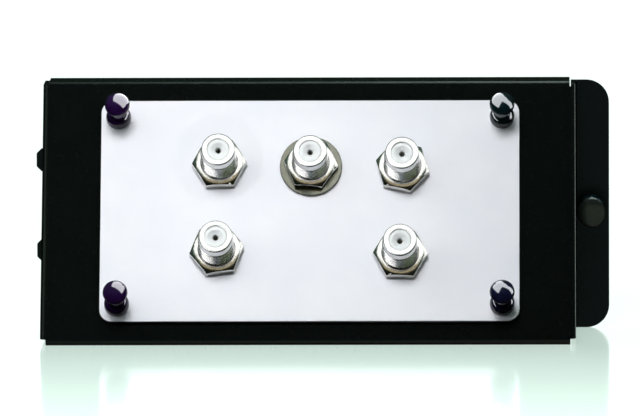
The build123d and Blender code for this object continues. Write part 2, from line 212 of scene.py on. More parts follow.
# The cards that glossy pieces mirror: name, colour, and the directions of the edges as seen from the ports, in
# degrees: from and to across, where 0 is the viewer's side and right is positive, then from and to upwards.
# Last, how the names of the pieces start that mirror it.
BODIES = ("input_port_body", "output_port_body")
NUTS = ("input_hexagon", "output_hexagon")
CONTACTS = ("input_contact", "output_contact")
CARDS = [
    ("face_card", (1.6, 1.6, 1.6), (-45, 50), (34, 64), (*BODIES, *NUTS, *CONTACTS, "flat_washer")),
    ("right_card", (1.5, 1.5, 1.5), (54, 104), (12, 50), (*BODIES, *NUTS)),
    ("left_card", (2.6, 2.6, 2.6), (-60, -14), (-20, 20), BODIES),
    ("grey_card", (0.22, 0.30, 0.36), (-14, 4), (-22, 18), BODIES),
    ("olive_card", (0.08, 0.13, 0.05), (4, 54), (-22, 20), BODIES),
    ("tan_card", (0.38, 0.29, 0.18), (-24, 24), (14, 34), NUTS),
    ("left_side_card", (2.2, 3.0, 2.4), (-78, -34), (15, 58), ("folded_sheet",)),
    ("right_side_card", (2.4, 2.9, 2.6), (112, 140), (-12, 14), ("folded_sheet",)),
    ("low_card", (0.55, 0.85, 0.80), (-25, 25), (-22, 6), ("folded_sheet",)),
    ("foot_card", (1.3, 1.5, 1.2), (-25, 25), (-66, -24), ("folded_sheet",)),
    ("ear_card", (0.30, 0.36, 0.29), (-26, 60), (-60, 16), ("ear_knob",)),
    ("back_card", (1.0, 1.0, 1.0), (120, 240), (0, 50), ("drawn_case", "back_cover")),
    ("low_back_card", (1.6, 1.7, 1.65), (120, 240), (-60, -12), ("folded_sheet", "drawn_case", "back_cover")),
]
CARD_DISTANCE = 0.6
CARD_STEPS = 8

# The floor: how far it reaches, its colour, its glow's colour, and the glow's strength, which goes from the third
# number at the first Y to the fourth number at the second. The weaker glow next to the module is painted shade on
# the floor.
FLOOR_REACH = 3.0
FLOOR_TONE = (0.30, 0.34, 0.32)
FLOOR_GLOW_TONE = (0.80, 1.0, 0.90)
FLOOR_GLOW_WITH_PAINTED_SHADE = (-25 * MM, -175 * MM, 0.55, 1.00)

# The upright sweep that the floor mirrors. All corners of sheets are in millimetres.
FLAT_SHEET = [(0, 1, 2, 3)]
SWEEP_CORNERS = [(-6000, 2900, 0), (6000, 2900, 0), (6000, 2900, 3600), (-6000, 2900, 3600)]

# Level cards overhead: name, colour, from and to in X, from and to in Y, and the pieces that mirror it
ROOF_HEIGHT = 500
ROOF_CARDS = [
    ("roof_card", (0.9, 1.3, 1.2), (-500, 600), (-150, 300), ("folded_sheet",)),
    ("middle_roof_card", (2.0, 2.8, 2.6), (-60, 600), (-150, 300), ("folded_sheet",)),
    ("right_roof_card", (5.4, 6.5, 6.0), (15, 600), (-150, 300), ("folded_sheet",)),
    ("ear_roof_card", (8.0, 9.6, 9.2), (-200, 700), (-700, 100), ("ear_collar",)),
]

# The folded screens by the knobs: name, colour, corners, leaves, and the pieces that mirror it
SCREENS = [
    ("left_screen", (12, 12, 12.5),
     [(-126, -98, 206), (87, -160, 64), (127, -46, 126), (99, 102, 100), (-10, 162, 120), (-74, 92, 206)],
     [(0, 1, 2, 5), (2, 3, 4, 5)], ("corner_knob_1", "corner_collar_1", "corner_knob_3", "corner_collar_3")),
    ("right_screen", (12, 12.5, 13),
     [(-124, -4, 134), (-25, -199, 70), (55, -140, 198), (239, -66, 6), (245, 26, 30), (169, -74, 192),
      (84, -20, 222), (13, 140, 156)],
     [(0, 1, 2), (0, 2, 7), (2, 3, 4, 5), (2, 5, 6), (2, 6, 7)],
     ("corner_knob_2", "corner_collar_2", "corner_knob_4", "corner_collar_4")),
]


def scaled(points):
    """Points in millimetres, as metres."""
    return [Vector(point) * MM for point in points]


def front_place(across, up):
    """A place on the sloped front: local X across, Y up the slope, Z towards the viewer."""
    outward = Vector((0, -math.cos(FRONT_TILT), math.sin(FRONT_TILT)))
    slope = outward.cross(Vector((1, 0, 0)))
    turn = Matrix((Vector((1, 0, 0)), slope, outward)).transposed().to_4x4()
    return Matrix.Translation(Vector((across, FRONT_EDGE_Y, 0)) + slope * up) @ turn


PORT_MIDDLE = front_place(MIDDLE_ACROSS, MIDDLE_UP) @ Matrix.Rotation(PORT_TURN, 4, "Z")
EAR_PLACE = Matrix.Translation(EAR_HOLE) @ Matrix.Rotation(math.radians(90), 4, "X")


# Camera, lights and floor

def add_camera():
    """A long lens at the photograph's viewing angle."""
    lens_data = bpy.data.cameras.new("view")
    camera = bpy.data.objects.new("view", lens_data)
    bpy.context.scene.collection.objects.link(camera)
    lens_data.sensor_width = SENSOR_WIDTH
    lens_data.lens = SENSOR_WIDTH * VIEW_DISTANCE / (IMAGE_WIDTH / PIXELS_PER_MM * MM)
    lens_data.clip_start, lens_data.clip_end = VIEW_RANGE
    level = Vector((math.sin(VIEW_AZIMUTH), -math.cos(VIEW_AZIMUTH), 0))
    back = level * math.cos(VIEW_ELEVATION) + Vector((0, 0, math.sin(VIEW_ELEVATION)))
    camera.location = VIEW_AIM + back * VIEW_DISTANCE
    camera.rotation_mode = "QUATERNION"
    camera.rotation_quaternion = (-back).to_track_quat("-Z", "Y") @ Quaternion((0, 0, 1), VIEW_ROLL)
    bpy.context.scene.camera = camera


def add_softbox(name, place, width, height, power, colour, beam):
    """A rectangular soft light that glossy pieces don't mirror."""
    light_data = bpy.data.lights.new(name, "AREA")
    light_data.shape = "RECTANGLE"
    light_data.size = width
    light_data.size_y = height
    light_data.energy = power
    light_data.color = colour
    light_data.spread = math.radians(beam)
    light = bpy.data.objects.new(name, light_data)
    bpy.context.scene.collection.objects.link(light)
    light.location = place
    light.rotation_mode = "QUATERNION"
    light.rotation_quaternion = (SOFTBOX_AIM - Vector(place)).to_track_quat("-Z", "Y")
    light.visible_glossy = False


def clear_glow(name, colour):
    """A glow that lets the light behind it through."""
    material = bpy.data.materials.new(name)
    material.use_nodes = True
    nodes = material.node_tree.nodes
    links = material.node_tree.links
    nodes.clear()
    glow = nodes.new("ShaderNodeEmission")
    brightest = max(colour)
    glow.inputs["Color"].default_value = (*(channel / brightest for channel in colour), 1)
    glow.inputs["Strength"].default_value = brightest
    both = nodes.new("ShaderNodeAddShader")
    links.new(glow.outputs[0], both.inputs[0])
    links.new(nodes.new("ShaderNodeBsdfTransparent").outputs[0], both.inputs[1])
    links.new(both.outputs[0], nodes.new("ShaderNodeOutputMaterial").inputs["Surface"])
    return material


def add_sheet(name, colour, corners, leaves, pieces):
    """A bright sheet that only the glossy pieces whose names start so mirror."""
    mesh = bpy.data.meshes.new(name)
    mesh.from_pydata(corners, [], leaves)
    mesh.materials.append(clear_glow(name, colour))
    sheet = bpy.data.objects.new(name, mesh)
    bpy.context.scene.collection.objects.link(sheet)
    sheet.visible_camera = False
    sheet.visible_diffuse = False
    sheet.visible_shadow = False
    sheet.visible_transmission = False
    receivers = bpy.data.collections.new(name)
    for piece in list(bpy.data.objects):
        if piece.name.startswith(pieces):
            receivers.objects.link(piece)
    sheet.light_linking.receiver_collection = receivers


def add_card(name, colour, across, up, pieces):
    """A card at a distance from the ports, between two directions across and two up."""
    middle = front_place(MIDDLE_ACROSS, MIDDLE_UP).translation
    corners = []
    for step in range(CARD_STEPS + 1):
        turn = math.radians(across[0] + (across[1] - across[0]) * step / CARD_STEPS)
        for rise in up:
            level = math.cos(math.radians(rise))
            way = Vector((level * math.sin(turn), -level * math.cos(turn), math.sin(math.radians(rise))))
            corners.append(middle + way * CARD_DISTANCE)
    leaves = [(2 * step, 2 * step + 2, 2 * step + 3, 2 * step + 1) for step in range(CARD_STEPS)]
    add_sheet(name, colour, corners, leaves, pieces)


def add_studio():
    """Plain soft light: a white sweep behind the object, dim surroundings in front, and the softboxes."""
    world = bpy.data.worlds.new("studio")
    bpy.context.scene.world = world
    world.use_nodes = True
    world.cycles.sampling_method = "NONE"
    nodes = world.node_tree.nodes
    links = world.node_tree.links
    nodes.clear()
    direction = nodes.new("ShaderNodeSeparateXYZ")
    links.new(nodes.new("ShaderNodeTexCoord").outputs["Generated"], direction.inputs[0])
    path = nodes.new("ShaderNodeLightPath")
    behind = nodes.new("ShaderNodeMath")
    behind.operation = "MULTIPLY"
    fade = nodes.new("ShaderNodeMapRange")
    fade.interpolation_type = "SMOOTHSTEP"
    fade.inputs["From Min"].default_value, fade.inputs["From Max"].default_value = SWEEP_FADE
    links.new(direction.outputs["Y"], fade.inputs["Value"])
    links.new(fade.outputs["Result"], behind.inputs[0])
    links.new(path.outputs["Is Diffuse Ray"], behind.inputs[1])
    rise = nodes.new("ShaderNodeMath")
    rise.operation = "MULTIPLY_ADD"
    rise.inputs[1].default_value = 0.5
    rise.inputs[2].default_value = 0.5
    links.new(direction.outputs["Z"], rise.inputs[0])
    room = nodes.new("ShaderNodeValToRGB")
    for count, (level, tone) in enumerate(ROOM_TONES):
        stops = room.color_ramp.elements
        stop = stops[count] if count < 2 else stops.new(level)
        stop.position = level
        stop.color = (*tone, 1)
    links.new(rise.outputs[0], room.inputs["Fac"])
    both = nodes.new("ShaderNodeMix")
    both.data_type = "RGBA"
    links.new(behind.outputs[0], both.inputs["Factor"])
    links.new(room.outputs["Color"], both.inputs["A"])
    both.inputs["B"].default_value = (*SWEEP_TONE, 1)
    around = nodes.new("ShaderNodeBackground")
    links.new(both.outputs["Result"], around.inputs["Color"])
    seen = nodes.new("ShaderNodeBackground")
    seen.inputs["Color"].default_value = (1, 1, 1, 1)
    seen.inputs["Strength"].default_value = SEEN_WHITE
    mix = nodes.new("ShaderNodeMixShader")
    out = nodes.new("ShaderNodeOutputWorld")
    links.new(path.outputs["Is Camera Ray"], mix.inputs["Fac"])
    links.new(around.outputs[0], mix.inputs[1])
    links.new(seen.outputs[0], mix.inputs[2])
    links.new(mix.outputs[0], out.inputs["Surface"])
    for softbox in SOFTBOXES:
        add_softbox(*softbox)


def add_floor():
    """The pale glossy floor that the module stands on, with its glow weakened next to the module as painted shade.
    """
    form = bmesh.new()
    bmesh.ops.create_grid(form, x_segments=1, y_segments=1, size=FLOOR_REACH)
    mesh = bpy.data.meshes.new("floor")
    form.to_mesh(mesh)
    form.free()
    floor = bpy.data.objects.new("floor", mesh)
    bpy.context.scene.collection.objects.link(floor)
    finish = Finish("floor_gloss", FLOOR_TONE, roughness=0.12)
    finish.shader.inputs["Emission Color"].default_value = (*FLOOR_GLOW_TONE, 1)
    split = finish.node("ShaderNodeSeparateXYZ")
    finish.link(finish.coordinates(), split.inputs[0])
    # The glow is weaker next to the module: painted shade on the floor there
    painted_shade_near_module = finish.node("ShaderNodeMapRange")
    for socket, value in zip(painted_shade_near_module.inputs[1:], FLOOR_GLOW_WITH_PAINTED_SHADE):
        socket.default_value = value
    finish.link(split.outputs["Y"], painted_shade_near_module.inputs["Value"])
    finish.link(painted_shade_near_module.outputs["Result"], finish.shader.inputs["Emission Strength"])
    mesh.materials.append(finish.material)
    floor.visible_glossy = False
    floor.visible_diffuse = False


# Finishes

# The part of a noise pattern's values that a finish spreads between its two limits
PATTERN_LOW = 0.3
PATTERN_HIGH = 0.7

# The plate's black core: its colour, and how far it blends into the white face
CORE_TONE = (0.004, 0.004, 0.005)
CORE_BLEND = 0.02 * MM

# Turns the front's normal to Z, for patterns that run round or along the ports
ALONG_PORT = (FRONT_TILT - math.pi / 2, 0, 0)


class Finish:
    """A node material: one shader, and the patterns that vary it over the surface."""

    def __init__(self, name, colour, metallic=0.0, roughness=0.5, specular=0.5):
        self.material = bpy.data.materials.new(name)
        self.material.use_nodes = True
        self.tree = self.material.node_tree
        self.shader = self.tree.nodes["Principled BSDF"]
        self.shader.inputs["Base Color"].default_value = (*colour, 1)
        self.shader.inputs["Metallic"].default_value = metallic
        self.shader.inputs["Roughness"].default_value = roughness
        self.shader.inputs["Specular IOR Level"].default_value = specular
        self.heights = None

    def node(self, kind):
        return self.tree.nodes.new(kind)

    def link(self, source, target):
        self.tree.links.new(source, target)

    def coordinates(self, stretch=(1, 1, 1), turn=(0, 0, 0)):
        """The piece's own coordinates, turned and then stretched."""
        source = self.node("ShaderNodeTexCoord").outputs["Object"]
        turned_place = self.node("ShaderNodeMapping")
        turned_place.inputs["Rotation"].default_value = turn
        stretched = self.node("ShaderNodeMapping")
        stretched.inputs["Scale"].default_value = stretch
        self.link(source, turned_place.inputs["Vector"])
        self.link(turned_place.outputs["Vector"], stretched.inputs["Vector"])
        return stretched.outputs["Vector"]

    def noise(self, size, detail=3.0, stretch=(1, 1, 1), turn=(0, 0, 0)):
        """A soft pattern whose grains are about the given size."""
        pattern = self.node("ShaderNodeTexNoise")
        pattern.inputs["Scale"].default_value = 1 / size
        pattern.inputs["Detail"].default_value = detail
        self.link(self.coordinates(stretch, turn), pattern.inputs["Vector"])
        return pattern.outputs["Fac"]

    def between(self, pattern, low, high, socket):
        """Lets a pattern move one of the shader's values between two limits."""
        spread = self.node("ShaderNodeMapRange")
        spread.inputs["From Min"].default_value = PATTERN_LOW
        spread.inputs["From Max"].default_value = PATTERN_HIGH
        spread.inputs["To Min"].default_value = low
        spread.inputs["To Max"].default_value = high
        self.link(pattern, spread.inputs["Value"])
        self.link(spread.outputs["Result"], self.shader.inputs[socket])

    def mottle(self, pattern, dark, light):
        """Lets a pattern vary the colour between two tones."""
        ramp = self.node("ShaderNodeValToRGB")
        for stop, level, tone in zip(ramp.color_ramp.elements, (PATTERN_LOW, PATTERN_HIGH), (dark, light)):
            stop.position = level
            stop.color = (*tone, 1)
        self.link(pattern, ramp.inputs["Fac"])
        self.link(ramp.outputs["Color"], self.shader.inputs["Base Color"])

    def relief(self, pattern, depth):
        """Raises the surface by a pattern, on top of any relief that it has."""
        bump = self.node("ShaderNodeBump")
        bump.inputs["Distance"].default_value = depth
        self.link(pattern, bump.inputs["Height"])
        if self.heights:
            self.link(self.heights, bump.inputs["Normal"])
        self.heights = bump.outputs["Normal"]
        self.link(self.heights, self.shader.inputs["Normal"])


def powder_coat():
    """Black powder coat, finely pebbled."""
    finish = Finish("powder_coat", (0.0012, 0.0020, 0.0018), roughness=0.25, specular=0.10)
    finish.mottle(finish.noise(9 * MM), (0.0008, 0.0015, 0.0013), (0.0012, 0.0020, 0.0018))
    finish.between(finish.noise(1.2 * MM), 0.22, 0.28, "Roughness")
    finish.relief(finish.noise(0.9 * MM, 2.0), 0.012 * MM)
    finish.relief(finish.noise(0.28 * MM, 2.0), 0.003 * MM)
    return finish.material


def plate_white():
    """Two-layer sheet: a white face over a black core that shows along the edges."""
    finish = Finish("plate_white", (0.87, 0.88, 0.93), roughness=0.34, specular=0.4)
    finish.mottle(finish.noise(16 * MM, 4.0), (0.84, 0.86, 0.92), (0.90, 0.90, 0.94))
    height = finish.node("ShaderNodeVectorMath")
    height.operation = "DOT_PRODUCT"
    height.inputs[1].default_value = (0, -math.cos(FRONT_TILT), math.sin(FRONT_TILT))
    finish.link(finish.coordinates(), height.inputs[0])
    layer = finish.node("ShaderNodeMapRange")
    core_top = -FRONT_EDGE_Y * math.cos(FRONT_TILT) + PLATE_THICKNESS - PLATE_FACE
    layer.inputs["From Min"].default_value = core_top - CORE_BLEND
    layer.inputs["From Max"].default_value = core_top + CORE_BLEND
    finish.link(height.outputs["Value"], layer.inputs["Value"])
    both = finish.node("ShaderNodeMix")
    both.data_type = "RGBA"
    both.inputs["A"].default_value = (*CORE_TONE, 1)
    finish.link(layer.outputs["Result"], both.inputs["Factor"])
    finish.link(finish.shader.inputs["Base Color"].links[0].from_socket, both.inputs["B"])
    finish.link(both.outputs["Result"], finish.shader.inputs["Base Color"])
    finish.between(finish.noise(4 * MM), 0.30, 0.40, "Roughness")
    finish.relief(finish.noise(0.5 * MM, 2.0), 0.001 * MM)
    return finish.material


def nickel(name, colour, roughness):
    """Bright plating over turned metal, with fine marks that run round the port."""
    finish = Finish(name, colour, metallic=1.0, roughness=roughness)
    tool_marks = finish.noise(0.25 * MM, 2.0, (0.06, 0.06, 1), ALONG_PORT)
    finish.between(tool_marks, roughness - 0.05, roughness + 0.07, "Roughness")
    dull = tuple(0.86 * channel for channel in colour)
    finish.mottle(finish.noise(1.6 * MM), dull, colour)
    finish.relief(tool_marks, 0.003 * MM)
    return finish.material


def insulator_white():
    """Smooth white moulding."""
    finish = Finish("insulator_white", (0.88, 0.91, 0.91), roughness=0.32)
    finish.mottle(finish.noise(1.5 * MM), (0.86, 0.89, 0.89), (0.91, 0.93, 0.93))
    finish.relief(finish.noise(0.3 * MM, 2.0), 0.001 * MM)
    return finish.material


def nylon(name, dark, light, roughness):
    """Glossy moulded nylon, nearly black."""
    finish = Finish(name, dark, roughness=roughness)
    finish.mottle(finish.noise(2.5 * MM), dark, light)
    finish.between(finish.noise(1.0 * MM), roughness, roughness + 0.04, "Roughness")
    finish.relief(finish.noise(1.4 * MM, 1.0), 0.004 * MM)
    return finish.material


def tinned_steel():
    """Dull tin plate, with faint lines from the rolling."""
    finish = Finish("tinned_steel", (0.62, 0.63, 0.62), metallic=1.0, roughness=0.36)
    finish.mottle(finish.noise(5 * MM, 5.0), (0.52, 0.53, 0.52), (0.68, 0.69, 0.68))
    rolled = finish.noise(0.4 * MM, 2.0, (0.04, 1, 1))
    finish.between(rolled, 0.30, 0.46, "Roughness")
    finish.relief(rolled, 0.004 * MM)
    return finish.material


def board_laminate():
    """Green solder mask over laminate."""
    finish = Finish("board_laminate", (0.02, 0.16, 0.07), roughness=0.35)
    finish.mottle(finish.noise(2.0 * MM), (0.015, 0.13, 0.055), (0.03, 0.19, 0.09))
    finish.relief(finish.noise(0.5 * MM), 0.01 * MM)
    return finish.material


def fired(name, dark, light, roughness):
    """A fired ceramic body, fine-grained and dull."""
    finish = Finish(name, dark, roughness=roughness)
    finish.mottle(finish.noise(0.5 * MM), dark, light)
    finish.relief(finish.noise(0.2 * MM), 0.01 * MM)
    return finish.material


def drawn_metal(name, colour):
    """Drawn copper alloy, with faint lengthwise lines."""
    finish = Finish(name, colour, metallic=1.0, roughness=0.3)
    dull = tuple(0.8 * channel for channel in colour)
    finish.mottle(finish.noise(0.8 * MM), dull, colour)
    finish.relief(finish.noise(0.15 * MM, 2.0, (1, 1, 0.1), ALONG_PORT), 0.003 * MM)
    return finish.material


# Shapes

def rounded(corners, radius):
    """A closed outline of radius and height with its corners rounded, except on the axis."""
    points = []
    for count, corner in enumerate(corners):
        here = Vector(corner)
        before = Vector(corners[count - 1]) - here
        after = Vector(corners[(count + 1) % len(corners)]) - here
        if corner[0] == 0:
            points.append(here)
            continue
        reach = min(radius, CORNER_SHARE * before.length, CORNER_SHARE * after.length)
        start = here + before.normalized() * reach
        end = here + after.normalized() * reach
        for step in range(CORNER_STEPS + 1):
            share = step / CORNER_STEPS
            points.append(start * (1 - share) ** 2 + here * 2 * share * (1 - share) + end * share ** 2)
    return points


def arc(middle, size, first, last):
    """Points on an ellipse, from one angle in degrees to another."""
    points = []
    for step in range(ARC_STEPS + 1):
        angle = math.radians(first + (last - first) * step / ARC_STEPS)
        points.append(Vector((middle[0] + size[0] * math.cos(angle), middle[1] + size[1] * math.sin(angle))))
    return points


def turn_outline(form, outline, first=0.0, last=TURN):
    """Turns a closed outline about Z and adds the shell to the form. A part turn gets flat ends."""
    whole = last - first >= TURN
    steps = TURN_SEGMENTS if whole else max(LEAST_SEGMENTS, round(TURN_SEGMENTS * (last - first) / TURN))
    angles = [first + (last - first) * step / steps for step in range(steps if whole else steps + 1)]
    rings = []
    for radius, height in outline:
        if radius == 0:
            rings.append([form.verts.new((0, 0, height))] * len(angles))
        else:
            rings.append([form.verts.new((radius * math.cos(a), radius * math.sin(a), height)) for a in angles])
    for count, ring in enumerate(rings):
        after = rings[(count + 1) % len(rings)]
        for column in range(steps):
            beside = (column + 1) % len(angles)
            corners = dict.fromkeys((ring[column], ring[beside], after[beside], after[column]))
            if len(corners) > 2:
                form.faces.new(corners)
    if not whole:
        form.faces.new([ring[0] for ring in rings])
        form.faces.new([ring[-1] for ring in rings])


def settled(piece):
    """The piece, with its modifiers applied to its mesh."""
    bpy.context.view_layer.update()
    evaluated = piece.evaluated_get(bpy.context.evaluated_depsgraph_get())
    mesh = bpy.data.meshes.new_from_object(evaluated)
    piece.modifiers.clear()
    piece.data = mesh
    return piece


def make_piece(name, form):
    """An object from a form, with outward faces and smooth shading up to sharp edges."""
    bmesh.ops.recalc_face_normals(form, faces=form.faces)
    mesh = bpy.data.meshes.new(name)
    form.to_mesh(mesh)
    form.free()
    mesh.shade_smooth()
    mesh.set_sharp_from_angle(angle=SHARP_ANGLE)
    piece = bpy.data.objects.new(name, mesh)
    bpy.context.scene.collection.objects.link(piece)
    return piece


def weigh_normals(piece):
    """Keeps wide faces flat beside their rounded edges."""
    weighted = piece.modifiers.new("weighted", "WEIGHTED_NORMAL")
    weighted.keep_sharp = True
    return piece


def stand_for(piece, body, slot, finish, *nodes):
    """Gives a piece its finish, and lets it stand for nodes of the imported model."""
    piece.data.materials.clear()
    piece.data.materials.append(finish)
    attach(piece, body)
    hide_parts(*nodes)


def edged_copy(name, node, width):
    """A copy of a node's mesh with whole flat faces and softly broken edges."""
    form = bmesh.new()
    form.from_mesh(frame["nodes"][node].data)
    bmesh.ops.remove_doubles(form, verts=form.verts, dist=MERGE)
    bmesh.ops.dissolve_limit(form, angle_limit=FLAT_ANGLE, verts=form.verts, edges=form.edges)
    piece = make_piece(name, form)
    edge = piece.modifiers.new("edge", "BEVEL")
    edge.width = width
    edge.segments = EDGE_STEPS
    edge.limit_method = "ANGLE"
    edge.angle_limit = BROKEN_ANGLE
    edge.use_clamp_overlap = False
    edge.harden_normals = True
    return settled(piece)


# The thread's geometry nodes

def thread_tree():
    """Nodes that cut an outside thread into a turned body, where its radius is above the bore's."""
    tree = bpy.data.node_groups.new("outside_thread", "GeometryNodeTree")
    tree.interface.new_socket("Body", in_out="INPUT", socket_type="NodeSocketGeometry")
    for name in ("Pitch", "Depth", "Start", "End", "Runout", "Bore"):
        tree.interface.new_socket(name, in_out="INPUT", socket_type="NodeSocketFloat")
    tree.interface.new_socket("Finish", in_out="INPUT", socket_type="NodeSocketMaterial")
    tree.interface.new_socket("Body", in_out="OUTPUT", socket_type="NodeSocketGeometry")
    given = tree.nodes.new("NodeGroupInput").outputs

    def fed(node, values):
        """The node's result, with a number or a link on each of its first inputs."""
        for socket, value in zip(node.inputs, values):
            if isinstance(value, (int, float)):
                socket.default_value = value
            else:
                tree.links.new(value, socket)
        return node.outputs[0]

    def math_node(operation, *values):
        node = tree.nodes.new("ShaderNodeMath")
        node.operation = operation
        return fed(node, values)

    def slope(value, start, end):
        """Rises from 0 to 1 between two values."""
        return fed(tree.nodes.new("ShaderNodeMapRange"), (value, start, end))

    position = tree.nodes.new("GeometryNodeInputPosition").outputs[0]
    split = tree.nodes.new("ShaderNodeSeparateXYZ")
    tree.links.new(position, split.inputs[0])
    x, y, z = split.outputs
    angle = math_node("DIVIDE", math_node("ARCTAN2", y, x), TURN)
    phase = math_node("FRACT", math_node("SUBTRACT", math_node("DIVIDE", z, given["Pitch"]), angle))
    wave = math_node("ABSOLUTE", math_node("MULTIPLY_ADD", phase, 2.0, -1.0))
    groove = slope(wave, GROOVE_MOUTH, GROOVE_FLOOR)
    full_low = math_node("ADD", given["Start"], given["Runout"])
    full_high = math_node("SUBTRACT", given["End"], given["Runout"])
    ends = math_node("MULTIPLY", slope(z, given["Start"], full_low), slope(z, given["End"], full_high))
    radius = math_node("SQRT", math_node("ADD", math_node("MULTIPLY", x, x), math_node("MULTIPLY", y, y)))
    outside = math_node("GREATER_THAN", radius, given["Bore"])
    cut = math_node("MULTIPLY", math_node("MULTIPLY", groove, ends), outside)
    share = math_node("DIVIDE", math_node("MULTIPLY", cut, given["Depth"]), math_node("MAXIMUM", radius, MERGE))
    inward = math_node("MULTIPLY", share, -1.0)
    offset = tree.nodes.new("ShaderNodeCombineXYZ")
    tree.links.new(math_node("MULTIPLY", x, inward), offset.inputs[0])
    tree.links.new(math_node("MULTIPLY", y, inward), offset.inputs[1])
    move = tree.nodes.new("GeometryNodeSetPosition")
    realize = tree.nodes.new("GeometryNodeRealizeInstances")
    paint = tree.nodes.new("GeometryNodeSetMaterial")
    out = tree.nodes.new("NodeGroupOutput")
    tree.links.new(given["Body"], move.inputs["Geometry"])
    tree.links.new(offset.outputs[0], move.inputs["Offset"])
    tree.links.new(move.outputs[0], realize.inputs[0])
    tree.links.new(realize.outputs[0], paint.inputs["Geometry"])
    tree.links.new(given["Finish"], paint.inputs["Material"])
    tree.links.new(paint.outputs[0], out.inputs[0])
    return tree


def cut_thread(piece, tree, finish, start, end):
    """Runs the thread's nodes on a turned body that stands on the local axis."""
    modifier = piece.modifiers.new("thread", "NODES")
    modifier.node_group = tree
    values = {
        "Pitch": THREAD_PITCH, "Depth": THREAD_DEPTH, "Start": start, "End": end, "Runout": THREAD_RUNOUT,
        "Bore": NOSE_TIP_RADIUS, "Finish": finish,
    }
    for socket in tree.interface.items_tree:
        if socket.in_out == "INPUT" and socket.name in values:
            modifier[socket.identifier] = values[socket.name]
    return settled(piece)


# Pieces

def edged_piece(name, node, width, slot, finish):
    """A fixed piece that is its node's shape with broken edges."""
    stand_for(edged_copy(name, node, width), "module", slot, finish, node)


def port_piece(kind, number, place, seat, tree, finish):
    """The turned body of a port, with its thread, nose and flange."""
    thread_low = seat + NUT_THICKNESS + THREAD_START
    shank = [
        (PORT_TAIL_RADIUS, PORT_LOW), (PORT_TAIL_RADIUS, FLANGE_LOW), (FLANGE_RADIUS, FLANGE_LOW),
        (FLANGE_RADIUS, FLANGE_TOP), (SHANK_RADIUS, FLANGE_TOP), (SHANK_RADIUS, thread_low),
    ]
    nose = [
        (NOSE_ROOT_RADIUS, THREAD_TOP + NOSE_EDGE), (NOSE_TIP_RADIUS, PORT_TOP - NOSE_EDGE),
        (NOSE_TIP_RADIUS - NOSE_EDGE, PORT_TOP), (INSULATOR_RADIUS + SLIP, PORT_TOP),
        (INSULATOR_RADIUS + SLIP, FLANGE_LOW), (INSULATOR_NECK_RADIUS + SLIP, FLANGE_LOW),
        (INSULATOR_NECK_RADIUS + SLIP, PORT_LOW),
    ]
    steps = round((THREAD_TOP - thread_low) / THREAD_PITCH * RINGS_PER_PITCH)
    threaded = [
        Vector((THREAD_RADIUS, thread_low + (THREAD_TOP - thread_low) * step / steps)) for step in range(steps + 1)
    ]
    corners = rounded(shank + nose, PORT_CORNER)
    below = len(shank) * (CORNER_STEPS + 1)
    form = bmesh.new()
    turn_outline(form, corners[:below] + threaded + corners[below:])
    piece = make_piece(f"{kind}_port_body{number}", form)
    cut_thread(piece, tree, finish, thread_low, THREAD_TOP)
    piece.data.shade_smooth()
    piece.data.set_sharp_from_angle(angle=THREAD_SHARP_ANGLE)
    settled(weigh_normals(piece))
    piece.data.transform(place)
    stand_for(piece, "module", "plated_port", finish, f"{kind}_port{number}")


def insulator_piece(kind, number, place, finish):
    """The white insulator, with a soft funnel."""
    shoulder = FLANGE_LOW + SLIP
    corners = [
        (CONTACT_TAIL_RADIUS, PORT_LOW), (INSULATOR_NECK_RADIUS, PORT_LOW), (INSULATOR_NECK_RADIUS, shoulder),
        (INSULATOR_RADIUS, shoulder), (INSULATOR_RADIUS, INSULATOR_TOP), (FUNNEL_RADIUS, INSULATOR_TOP),
        (PIN_HOLE_RADIUS, INSULATOR_TOP - FUNNEL_DEPTH), (PIN_HOLE_RADIUS, CONTACT_TOP),
        (CONTACT_SPACE_RADIUS, CONTACT_TOP), (CONTACT_SPACE_RADIUS, CONTACT_LOW),
        (CONTACT_TAIL_RADIUS, CONTACT_LOW),
    ]
    form = bmesh.new()
    turn_outline(form, rounded(corners, INSULATOR_CORNER))
    piece = settled(weigh_normals(make_piece(f"{kind}_dielectric{number}", form)))
    piece.data.transform(place)
    stand_for(piece, "module", "white_insulator", finish, f"{kind}_insulator{number}")


def grommet_piece(name, kind, place, finish, node):
    """A grommet: its bell-shaped collar, its body through the panel, and four sprung legs."""
    bore = kind["neck"] + RUN_CLEARANCE
    rim = kind["seat"] + COLLAR_RIM
    mouth = bore + COLLAR_LIP
    low = -SHEET_THICKNESS - BARB
    bell = arc((mouth, rim), (kind["collar"] - mouth, kind["collar_top"] - rim), 0, 90)
    collar = bell + [
        (bore, kind["collar_top"] - COLLAR_LIP), (bore, low), (kind["body"], low),
        (kind["body"], kind["seat"]), (kind["collar"], kind["seat"]),
    ]
    leg = [
        (bore, low + LEG_OVERLAP), (bore, kind["leg_low"]), (bore + LEG_TIP, kind["leg_low"]),
        (kind["body"] + BARB, -SHEET_THICKNESS - 3 * BARB), (kind["body"] - SLIP / MM, low + LEG_OVERLAP),
    ]
    form = bmesh.new()
    turn_outline(form, scaled(collar))
    for count in range(LEG_COUNT):
        start = count * TURN / LEG_COUNT + LEG_SLOT_ANGLE / 2
        end = start + TURN / LEG_COUNT - LEG_SLOT_ANGLE
        turn_outline(form, rounded(scaled(leg), LEG_CORNER), start, end)
    piece = settled(weigh_normals(make_piece(name, form)))
    piece.data.transform(place)
    stand_for(piece, "module", "black_nylon", finish, node)


